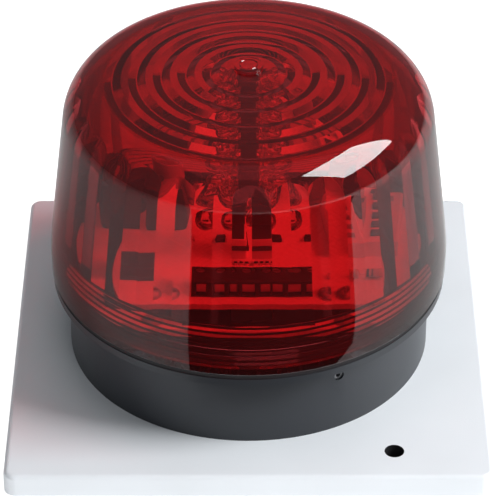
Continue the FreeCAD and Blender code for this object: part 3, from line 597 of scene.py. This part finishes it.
# ---- Driver coil and relay -------------------------------------------------------------------
# Two potted blocks on the board. The tall one steps the voltage up for the sounder; its lid is
# sunk inside a thin rim. The low one is a sealed relay with a moulded step round its foot.
coil_low, coil_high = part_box("driver_coil")
coil_top = coil_high.z
coil_rows = [(0.0014, coil_top - 0.0008), (0.0012, coil_top - 0.0007), (0.0011, coil_top - 0.0001),
             (0.0009, coil_top), (0.0005, coil_top), (0.0002, coil_top - 0.0002),
             (0.0001, coil_top - 0.0005), (0, coil_low.z + 0.0010), (0.0003, coil_low.z + 0.0009),
             (0.0003, coil_low.z)]
make_skin("step_up_coil", moulded_block(coil_low, coil_high, 0.0012, coil_rows), polyamide,
          "siren_base", "black_part", "driver_coil")
relay_low, relay_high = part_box("relay")
relay_top = relay_high.z
relay_rows = [(0.0012, relay_top - 0.0001), (0.0010, relay_top), (0.0003, relay_top),
              (0.0001, relay_top - 0.0001), (0.0001, relay_low.z + 0.0012),
              (0, relay_low.z + 0.0011), (0, relay_low.z)]
make_skin("sealed_relay", moulded_block(relay_low, relay_high, 0.0008, relay_rows), polyamide,
          "siren_base", "black_part", "relay")


# ---- Capacitors ------------------------------------------------------------------------------
# Two electrolytic cans: an aluminium can in a shrunk grey sleeve, rolled in near the foot, with
# a cross scored in the bare top as a vent.
can_low, can_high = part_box("capacitors")
can_radius, can_lip, can_opening = 0.004, 0.0005, 0.0011
can_waist, can_waist_tall = 0.00045, 0.0016
can_tall = can_high.z - can_low.z
can_places = np.array([(can_low.x + can_radius, can_high.y - can_radius, can_low.z),
                       (can_high.x - can_radius, can_low.y + can_radius, can_low.z)])
ease = np.linspace(0, np.pi / 2, 6)
lip_r = can_radius - can_lip + can_lip * np.sin(ease)
lip_z = can_tall - can_lip + can_lip * np.cos(ease)
waist = np.linspace(0, np.pi, 9)
waist_r = can_radius - can_waist * np.sin(waist)
waist_z = can_tall * 0.17 - can_waist_tall * waist / np.pi
sleeve_r = np.concatenate([[0, can_radius - can_opening, can_radius - 0.0010], lip_r, waist_r,
                           [can_radius, can_radius - 0.0003, can_radius - 0.0004, 0]])
sleeve_z = np.concatenate([[can_tall - 0.0006, can_tall - 0.0006, can_tall - 0.0001], lip_z,
                           waist_z, [0.0003, 0.00005, 0, 0]])
sleeve, tree, skin = grained("shrunk_sleeve", (0.22, 0.22, 0.24), 0.30, 1500, 0.00001)
can_shape = turn_profile(sleeve_r, sleeve_z, 48)
make_skin("can_sleeves", can_shape + can_places[:, None, None, :], sleeve, "siren_base",
          "can_sleeve", "capacitors")
lid_steps, lid_thick, score_half, score_deep = 10, 0.00025, 0.00025, 0.00018
lid_r = np.concatenate([np.linspace(0, can_radius - can_opening, lid_steps),
                        [can_radius - can_opening, 0]])
lid_z = np.concatenate([np.full(lid_steps, can_tall - lid_thick),
                        [can_tall - 2 * lid_thick] * 2])
lid = turn_profile(lid_r, lid_z, 48)
score = np.minimum(abs(lid[..., 0]), abs(lid[..., 1]))
lid[:lid_steps, :, 2] -= score_deep * np.clip(1 - score[:lid_steps] / score_half, 0, 1)
aluminium, tree, skin = grained("bare_aluminium", (0.80, 0.80, 0.81), 0.30, 5000, 0.000003, 0.3)
skin.inputs["Metallic"].default_value = 1
make_skin("can_vents", lid + can_places[:, None, None, :], aluminium, "siren_base", "tin")


# ---- Surge resistor --------------------------------------------------------------------------
# A film resistor lying on its two bent wires: a lacquered body, fuller over its end caps, with
# painted bands of a generic value.
resistor_low, resistor_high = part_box("surge_resistor")
resistor_middle = (resistor_low + resistor_high) / 2
resistor_half = (resistor_high.x - resistor_low.x) / 2
resistor_radius = (resistor_high.z - resistor_low.z) / 2
along = np.linspace(-1, 1, 25)
swell = 0.84 + 0.16 * np.exp(-((abs(along) - 0.74) / 0.16) ** 2)
swell *= np.sqrt(np.clip(1 - np.clip((abs(along) - 0.86) / 0.14, 0, 1) ** 2, 0, 1))
swell[[0, -1]] = 0
body = turn_profile(resistor_radius * swell, -resistor_half * along, 32)
body = np.stack([body[..., 2], body[..., 0], body[..., 1]], axis=-1) + np.array(resistor_middle)
lacquer, tree, skin = grained("tan_lacquer", (0.50, 0.38, 0.24), 0.32, 2500, 0.00001)
where = tree.nodes.new("ShaderNodeTexCoord")
centred = tree.nodes.new("ShaderNodeMapping")
centred.inputs["Scale"].default_value = (0.5 / resistor_half, 1, 1)
centred.inputs["Location"].default_value = (0.5 - 0.5 * resistor_middle.x / resistor_half, 0, 0)
apart = tree.nodes.new("ShaderNodeSeparateXYZ")
bands = tree.nodes.new("ShaderNodeValToRGB")
bands.color_ramp.interpolation = "CONSTANT"
tan, brown, black, gold = ((0.50, 0.38, 0.24, 1), (0.10, 0.03, 0.01, 1), (0.01, 0.01, 0.01, 1),
                           (0.55, 0.38, 0.08, 1))
bands.color_ramp.elements[0].color = tan
bands.color_ramp.elements[1].position = 0.14
bands.color_ramp.elements[1].color = brown
for start, colour in ((0.21, tan), (0.33, black), (0.40, tan), (0.49, brown), (0.56, tan),
                      (0.79, gold), (0.86, tan)):
    bands.color_ramp.elements.new(start).color = colour
tree.links.new(where.outputs["Object"], centred.inputs["Vector"])
tree.links.new(centred.outputs["Vector"], apart.inputs["Vector"])
tree.links.new(apart.outputs["X"], bands.inputs["Fac"])
tree.links.new(bands.outputs["Color"], skin.inputs["Base Color"])
make_skin("film_resistor", body, lacquer, "siren_base", "resistor_body", "surge_resistor")
dress(tin, "resistor_leads")


# ---- Control chip and small resistors --------------------------------------------------------
# A flat black chip with a dimple at its first leg and two rows of bent legs, and a row of small
# flat resistors with tinned ends, all soldered to the face of the board.
chip_low, chip_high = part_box("control_chip")
chip_top = chip_high.z
chip_waist = (chip_low.z + chip_top) / 2
chip_rows = [(0.0003, chip_top), (0.00022, chip_top - 0.00003), (0.0, chip_waist + 0.0001),
             (0.0, chip_waist - 0.0001), (0.00022, chip_low.z)]
chip_resin, tree, skin = grained("chip_resin", (0.018, 0.018, 0.019), 0.55, 4000, 0.00002)
make_skin("chip_body", moulded_block(chip_low, chip_high, 0.0002, chip_rows, arc=2), chip_resin,
          "siren_base", "black_part", "control_chip")
dress(tin, "chip_legs")
small_low, small_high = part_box("small_resistors")
small_count = 7
small_wide = 0.0009
small_x = np.linspace(small_low.x + small_wide / 2, small_high.x - small_wide / 2, small_count)
small_top = small_high.z
small_rows = [(0.00006, small_top), (0, small_top - 0.00006), (0, small_low.z)]
small_y = ((small_low.y + 0.0003, small_high.y - 0.0003),
           (small_low.y, small_low.y + 0.0004), (small_high.y - 0.0004, small_high.y))


def small_blocks(y_low, y_high, shrink):
    """A row of small blocks across the board, one for each resistor."""
    half = small_wide / 2 - shrink
    one = moulded_block((-half, y_low, 0), (half, y_high, 0), 0.00006, small_rows, arc=1)
    return one + np.stack([small_x, 0 * small_x, 0 * small_x], axis=-1)[:, None, None]


make_skin("flat_resistors", small_blocks(*small_y[0], 0.00003), chip_resin, "siren_base",
          "black_part", "small_resistors")
ends = np.concatenate([small_blocks(*small_y[1], 0), small_blocks(*small_y[2], 0)])
make_skin("flat_resistor_ends", ends, tin, "siren_base", "tin")


# ---- Diodes ----------------------------------------------------------------------------------
# Two flat black diodes, one each side of the mast: moulded bodies that are widest at mid-height,
# with tinned tabs that come out of their ends and stand on the board.
diode_low, diode_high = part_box("diodes")
diode_long = 0.0036
diode_body_half = 0.0013
tab_out, tab_half = 0.00155, 0.00025
diode_top = diode_high.z
diode_middle = diode_high.x - diode_long / 2
diode_rows = [(0.00025, diode_top), (0.0002, diode_top - 0.00005),
              (0, (diode_top + diode_low.z) / 2), (0.00012, diode_low.z + 0.00015),
              (0.00014, diode_low.z)]
diode_body = moulded_block((-diode_body_half, diode_low.y, 0),
                           (diode_body_half, diode_high.y, 0), 0.00015, diode_rows, arc=2)
sides = np.array([(-diode_middle, 0, 0), (diode_middle, 0, 0)])[:, None, None]
make_skin("diode_bodies", diode_body + sides, chip_resin, "siren_base", "black_part", "diodes")
tab_top = (diode_top + diode_low.z) / 2
tab_rows = [(0.00004, tab_top), (0, tab_top - 0.00004), (0, diode_low.z)]
tabs = np.stack([
    moulded_block((x - tab_half, diode_low.y + 0.0003, 0),
                  (x + tab_half, diode_high.y - 0.0003, 0), 0.00005, tab_rows, arc=1)
    for x in (-tab_out, tab_out)])
make_skin("diode_tabs", tabs[None] + sides[:, None], tin, "siren_base", "tin")


# ---- Lens seal -------------------------------------------------------------------------------
# A flat ring of black rubber on the base's flange, squeezed under the lens.
dress(rubber, "lens_seal")


# ---- Lens ------------------------------------------------------------------------------------
# One shot of clear red polycarbonate. Inside, the wall carries thirty shallow prisms that end in
# round arches. Seven ribs run round its foot, five V rings stand down from the crown, and a plain
# spigot fits the base.
lens_low, lens_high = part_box("lens")
gate_tall, gate_radius = 0.0008, 0.0036
crown = lens_high.z - gate_tall
rim = lens_high.x
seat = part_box("lens_seal")[1].z
foot = seat + 0.0071
draft = 0.1170
wall, roof = 0.0024, 0.003
crown_curve, shoulder = 0.25, 0.0126


def dome_arcs(inset, drop):
    """Centre and size of a dome's two arcs: a shallow crown arc met by a round shoulder arc.

    The shoulder arc touches the leaning wall line and the crown arc, so its centre lies on the
    wall line moved in by its radius, at the crown arc's radius less its own from the crown's
    centre. That gives a quadratic in the height above the wall's foot.
    """
    lean = math.atan(draft)
    bend = shoulder - inset
    start = rim - inset - bend / math.cos(lean)
    low = crown - drop - crown_curve
    rise = foot - low
    half = rise - start * draft
    square = 1 + draft ** 2
    up = (math.sqrt(half ** 2 - square * (start ** 2 + rise ** 2 - (crown_curve - bend) ** 2))
          - half) / square
    centre = (start - draft * up, foot + up)
    return centre, bend, low, lean, math.atan2(centre[1] - low, centre[0])


centre, bend, low, lean, knee = dome_arcs(0, 0)
knee_radius = centre[0] + bend * math.cos(knee)
top_r = np.concatenate([[gate_radius], np.linspace(gate_radius + 0.002, knee_radius, 9)[:-1]])
turn = np.linspace(knee, lean, 16)
arc_r, arc_z = centre[0] + bend * np.cos(turn), centre[1] + bend * np.sin(turn)
wall_r = np.linspace(arc_r[-1], rim, 8)[1:]
wall_z = np.linspace(arc_z[-1], foot, 8)[1:]
spigot, spigot_wall, ledge_tall = 0.0432, 0.002, 0.0022
soft = 0.0003
gate_r = gate_radius - np.array([gate_radius, 0.0016, 0.0014, 0.0012, 0.0002, 0.00006, 0])
gate_z = lens_high.z - np.array([0, 0, 0.00015, 0, 0, 0.00006, 0.0002])
outer_r = np.concatenate([gate_r, top_r, arc_r, wall_r,
                          [rim, rim - soft * 0.3, rim - soft, spigot + 0.0002, spigot, spigot,
                           spigot - 0.0002, spigot - spigot_wall + 0.0002, spigot - spigot_wall,
                           spigot - spigot_wall]])
outer_z = np.concatenate([gate_z, low + np.sqrt(crown_curve ** 2 - top_r ** 2), arc_z, wall_z,
                          [seat + soft, seat + soft * 0.3, seat, seat, seat - 0.0002,
                           lens_low.z + 0.0002, lens_low.z, lens_low.z, lens_low.z + 0.0002,
                           seat + ledge_tall]])

rib_count, rib_deep = 7, 0.00035
flute_foot = 0.0424
rib_pitch = (flute_foot - seat - ledge_tall) / rib_count
rib_z = seat + ledge_tall + rib_pitch * np.array([0, 0.46, 0.54, 0.999] * rib_count)
rib_z += rib_pitch * np.repeat(np.arange(rib_count), 4)
rib_r = rim - wall - draft * np.maximum(rib_z - foot, 0)
rib_r -= rib_deep * np.array([0, 0.95, 0.95, 0] * rib_count)

flute_count, flute_steps = 30, 16
flute_turn, flute_pitch = -89, 360 / flute_count
swing = np.sin(np.linspace(-np.pi / 2, np.pi / 2, flute_steps, endpoint=False))
swing = np.tile(swing, flute_count)
angles = np.radians(flute_turn + flute_pitch * np.repeat(np.arange(flute_count), flute_steps)
                    + flute_pitch / 2 * swing)
centre, bend, low, lean, knee = dome_arcs(wall, roof)
apex, arch_drop, arch_point = 0.0783, 0.0019, 0.25
arch_fall = arch_point * abs(swing) + (1 - arch_point) * (1 - np.sqrt(1 - swing ** 2))
arch_turn = np.arcsin((apex - arch_drop * arch_fall - centre[1]) / bend)
prism_low, prism_deep = 0.00027, 0.0005
spring_z = centre[1] + bend * math.sin(lean)
straight = np.linspace(0, 1, 8)[:-1, None]
thick = prism_low + prism_deep * (1 - abs(swing))
flute_z = flute_foot + (spring_z - flute_foot) * straight + 0 * swing
flute_r = rim - wall - draft * (flute_z - foot) - thick
bow = np.linspace(0, 1, 14)[:, None]
bow_turn = lean + (arch_turn - lean) * bow
bow_reach = bend - (thick + (prism_low - thick) * bow ** 3)
flute_r = np.concatenate([flute_r, centre[0] + bow_reach * np.cos(bow_turn)])
flute_z = np.concatenate([flute_z, centre[1] + bow_reach * np.sin(bow_turn)])
part = np.linspace(0, 1, 12)[:, None]
hip_turn = arch_turn + (knee - arch_turn) * part
hip_r = centre[0] + bend * np.cos(hip_turn)
hip_z = centre[1] + bend * np.sin(hip_turn)
ring_first, ring_pitch, ring_half, ring_deep = 0.00925, 0.006, 0.0021, 0.001
ring_steps = np.array([1.3, 1, 0.97, 0.5, 0.08, 0, -0.08, -0.5, -0.97, -1])
ring_at = ring_first + ring_pitch * np.arange(4, -1, -1)
ring_r = (ring_at[:, None] + ring_half * ring_steps).ravel()
ring_fall = np.tile(np.clip(1 - abs(ring_steps), 0, 0.93), len(ring_at))
crown_r = np.concatenate([ring_r, [0.005, 0.0025, 0]])
crown_fall = np.concatenate([ring_fall, [0, 0, 0]])
crown_z = low + np.sqrt(crown_curve ** 2 - crown_r ** 2) - ring_deep * crown_fall

lens_r = np.concatenate([
    np.repeat(np.concatenate([outer_r, rib_r])[:, None], len(angles), axis=1), flute_r, hip_r,
    np.repeat(crown_r[:, None], len(angles), axis=1)])
lens_z = np.concatenate([
    np.repeat(np.concatenate([outer_z, rib_z])[:, None], len(angles), axis=1), flute_z, hip_z,
    np.repeat(crown_z[:, None], len(angles), axis=1)])
lens_grid = np.stack([lens_r * np.cos(angles), lens_r * np.sin(angles), lens_z], axis=-1)

shoulder_fade = 0.006
red_lens, tree, skin, output = shader_tree("red_polycarbonate")
skin.inputs["Roughness"].default_value = 0.01
skin.inputs["IOR"].default_value = 1.58
skin.inputs["Transmission Weight"].default_value = 0.98
where = tree.nodes.new("ShaderNodeTexCoord")
flow = tree.nodes.new("ShaderNodeTexNoise")
flow.inputs["Scale"].default_value = 25
tree.links.new(where.outputs["Object"], flow.inputs["Vector"])
dye = tree.nodes.new("ShaderNodeMix")
dye.data_type = "RGBA"
dye.inputs["A"].default_value = (0.83, 0.068, 0.080, 1)
dye.inputs["B"].default_value = (0.80, 0.073, 0.086, 1)
tree.links.new(flow.outputs["Fac"], dye.inputs["Factor"])
height = tree.nodes.new("ShaderNodeSeparateXYZ")
tree.links.new(where.outputs["Object"], height.inputs["Vector"])
climb = tree.nodes.new("ShaderNodeMapRange")
climb.inputs["From Min"].default_value = apex - shoulder_fade
climb.inputs["From Max"].default_value = apex
tree.links.new(height.outputs["Z"], climb.inputs["Value"])
# Where the wall is seen at a slant, light has a longer way through it and the red is deeper.
graze = tree.nodes.new("ShaderNodeLayerWeight")
slant = tree.nodes.new("ShaderNodeMapRange")
slant.inputs["From Min"].default_value = 0.08
slant.inputs["From Max"].default_value = 0.52
slant.inputs["To Max"].default_value = 0.94
tree.links.new(graze.outputs["Facing"], slant.inputs["Value"])
on_wall = tree.nodes.new("ShaderNodeMapRange")
on_wall.inputs["To Min"].default_value = 1
on_wall.inputs["To Max"].default_value = 0
tree.links.new(climb.outputs["Result"], on_wall.inputs["Value"])
longer = tree.nodes.new("ShaderNodeMath")
longer.operation = "MULTIPLY"
tree.links.new(slant.outputs["Result"], longer.inputs[0])
tree.links.new(on_wall.outputs["Result"], longer.inputs[1])
deep = tree.nodes.new("ShaderNodeMix")
deep.data_type = "RGBA"
deep.inputs["B"].default_value = (0.05, 0.006, 0.008, 1)
tree.links.new(longer.outputs[0], deep.inputs["Factor"])
tree.links.new(dye.outputs["Result"], deep.inputs["A"])
tree.links.new(deep.outputs["Result"], skin.inputs["Base Color"])
pass_colour = tree.nodes.new("ShaderNodeMix")
pass_colour.data_type = "RGBA"
pass_colour.inputs["A"].default_value = (0.80, 0.26, 0.27, 1)
pass_colour.inputs["B"].default_value = (1.0, 0.40, 0.42, 1)
tree.links.new(climb.outputs["Result"], pass_colour.inputs["Factor"])
through = pass_shadow_rays(tree, skin, output)
tree.links.new(pass_colour.outputs["Result"], through.inputs["Color"])
make_skin("dome_lens", lens_grid, red_lens, "lens_cover", "red_lens", "lens", sharp=9)


# ---- Lock screw ------------------------------------------------------------------------------
# A short steel grub screw with a hexagon socket, in the base's side. It bears on the spigot and
# keeps the lens from being turned or lifted off.
dark_steel, tree, skin = grained("dark_steel", (0.30, 0.30, 0.31), 0.35, 6000, 0.000004)
skin.inputs["Metallic"].default_value = 1
dress(dark_steel, "lock_screw")
